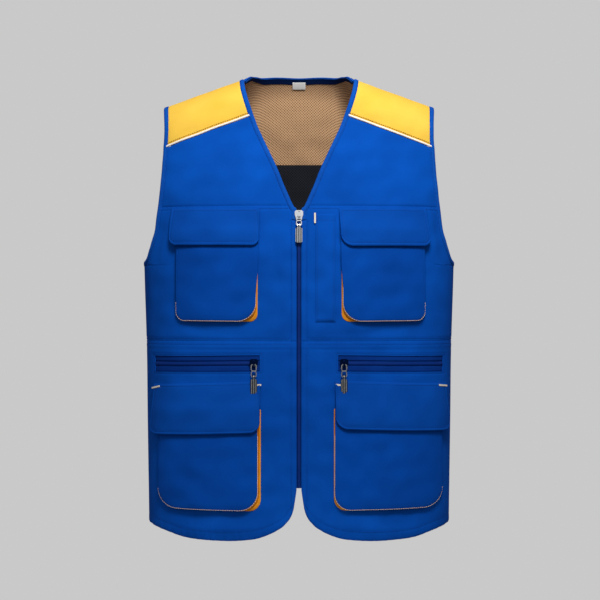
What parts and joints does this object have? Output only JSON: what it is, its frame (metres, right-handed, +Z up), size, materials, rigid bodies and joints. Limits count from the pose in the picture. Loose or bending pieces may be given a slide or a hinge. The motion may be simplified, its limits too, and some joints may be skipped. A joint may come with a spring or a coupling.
{
  "type": "utility work vest",
  "caption": "Sleeveless V-neck work vest with a front zip, contrast shoulder yokes, flapped patch pockets and slanting zipped waist pockets, in its worn shape.",
  "frame": {"origin": "midway between the two shoulder neck points, where the wearer's shoulders carry the vest", "axes": "+Z up, along the wearer's spine; the front faces -Y; the wearer's left is +X"},
  "size_m": [0.4632, 0.2191, 0.6882],
  "materials": {
    "yellow_twill": "woven twill, matte",
    "blue_twill": "woven twill, matte",
    "pocket_twill": "woven twill, matte",
    "orange_twill": "woven twill, matte",
    "piping": "folded tape, matte",
    "binding": "folded woven tape, matte",
    "upper_mesh": "knitted mesh",
    "lower_mesh": "knitted mesh",
    "zip_tape": "woven tape",
    "zip_coil": "moulded coil",
    "zip_metal": "bright plated die casting",
    "label_cloth": "woven label, bare"
  },
  "bodies": {
    "vest": {"shoulder_yoke_right": "yellow_twill", "shoulder_yoke_left": "yellow_twill", "back_yoke": "yellow_twill", "front_chest_panel_right": "blue_twill", "front_chest_panel_left": "blue_twill", "front_middle_panel_right": "blue_twill", "front_middle_panel_left": "blue_twill", "front_lower_panel_right": "blue_twill", "front_lower_panel_left": "blue_twill", "back_panel": "blue_twill", "chest_pocket_right": "pocket_twill", "chest_pocket_left": "pocket_twill", "chest_flap_right": "pocket_twill", "chest_flap_left": "pocket_twill", "lower_pocket_right": "pocket_twill", "lower_pocket_left": "pocket_twill", "lower_flap_right": "pocket_twill", "lower_flap_left": "pocket_twill", "pen_pocket": "pocket_twill", "chest_gusset_right": "orange_twill", "chest_gusset_left": "orange_twill", "lower_gusset_right": "orange_twill", "lower_gusset_left": "orange_twill", "yoke_piping_right": "piping", "yoke_piping_left": "piping", "armhole_binding_right": "binding", "armhole_binding_left": "binding", "neck_binding": "binding", "back_lining_upper": "upper_mesh", "back_lining_lower": "lower_mesh", "waist_zip_tape_right": "zip_tape", "waist_zip_tape_left": "zip_tape", "front_zip_tape": "zip_tape", "waist_zip_coil_right": "zip_coil", "waist_zip_coil_left": "zip_coil", "front_zip_coil": "zip_coil", "waist_slider_right": "zip_metal", "waist_slider_left": "zip_metal", "front_slider": "zip_metal", "size_label": "label_cloth"},
    "front_pull": {"front_pull_link": "zip_metal", "front_pull_tab": "zip_metal"},
    "waist_pull_right": {"waist_pull_link_right": "zip_metal", "waist_pull_tab_right": "zip_metal"},
    "waist_pull_left": {"waist_pull_link_left": "zip_metal", "waist_pull_tab_left": "zip_metal"}
  },
  "joints": [
    {"name": "front_pull_swing", "type": "hinge", "parent": "vest", "child": "front_pull", "pos_m": [0, -0.10763, -0.20651], "axis": [-1, 0, 0], "range_deg": [0, 150]},
    {"name": "waist_pull_right_swing", "type": "hinge", "parent": "vest", "child": "waist_pull_right", "pos_m": [-0.0645, -0.10876, -0.41923], "axis": [-1, 0, 0], "range_deg": [0, 150]},
    {"name": "waist_pull_left_swing", "type": "hinge", "parent": "vest", "child": "waist_pull_left", "pos_m": [0.0645, -0.10877, -0.41922], "axis": [-1, 0, 0], "range_deg": [0, 150]}
  ]
}
